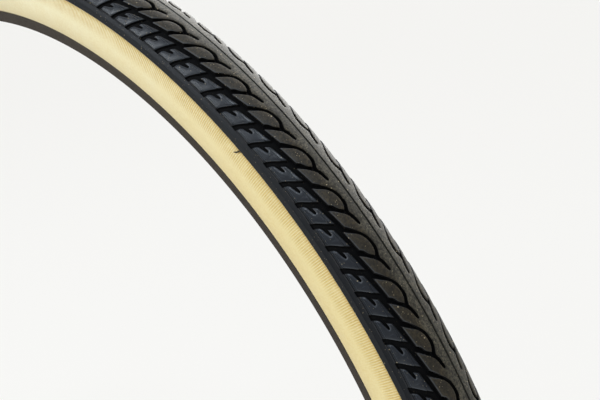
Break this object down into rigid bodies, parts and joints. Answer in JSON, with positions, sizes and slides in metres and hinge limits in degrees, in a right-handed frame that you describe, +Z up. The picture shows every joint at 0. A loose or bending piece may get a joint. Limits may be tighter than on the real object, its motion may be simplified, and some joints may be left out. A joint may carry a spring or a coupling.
{
  "type": "bicycle tire",
  "caption": "Clincher bicycle tire with a grooved black tread, tan sidewalls and wire beads, with an inner tube and its capped valve inside.",
  "frame": {"origin": "centre of the tire on the wheel axis", "axes": "+Y along the wheel axis, +Z up through the crown opposite the valve, +X along the rolling direction; the valve is at the bottom and points up at the hub"},
  "size_m": [0.638, 0.0348, 0.6379],
  "materials": {
    "tread_rubber": "matte, moulded",
    "belt_rubber": "matte",
    "ply_cloth": "rubberised cord cloth",
    "tan_rubber": "satin over cord",
    "bead_steel": "bronze-coated wire",
    "bead_rubber": "matte",
    "chafer_rubber": "matte cloth strip",
    "tube_rubber": "satin",
    "stem_rubber": "satin",
    "valve_brass": "turned",
    "seal_rubber": "smooth",
    "pin_brass": "turned",
    "spring_steel": "drawn wire",
    "cap_plastic": "moulded"
  },
  "bodies": {
    "carcass": {"tread": "tread_rubber", "puncture_belt": "belt_rubber", "casing_ply_inner": "ply_cloth", "casing_ply_outer": "ply_cloth", "sidewall_left": "tan_rubber", "sidewall_right": "tan_rubber", "bead_wire_left": "bead_steel", "bead_wire_right": "bead_steel", "bead_insulation_left": "bead_rubber", "bead_insulation_right": "bead_rubber", "bead_chafer_left": "chafer_rubber", "bead_chafer_right": "chafer_rubber", "inner_tube": "tube_rubber", "valve_pad": "tube_rubber", "valve_sleeve": "stem_rubber", "valve_body": "valve_brass", "valve_core_barrel": "valve_brass", "valve_core_gasket": "seal_rubber", "valve_spring": "spring_steel"},
    "pin": {"valve_pin": "pin_brass", "valve_poppet": "pin_brass", "valve_poppet_seal": "seal_rubber"},
    "cap": {"valve_cap": "cap_plastic", "valve_cap_seal": "seal_rubber"}
  },
  "joints": [
    {"name": "cap_lift", "type": "slide", "parent": "carcass", "child": "cap", "axis": [0, 0, 1], "range_m": [0, 0.045]},
    {"name": "pin_press", "type": "slide", "parent": "carcass", "child": "pin", "axis": [0, 0, -1], "range_m": [0, 0.0018], "stiffness_N_per_m": 1000, "springref_m": -0.0015, "deforming": ["valve_spring"]}
  ]
}
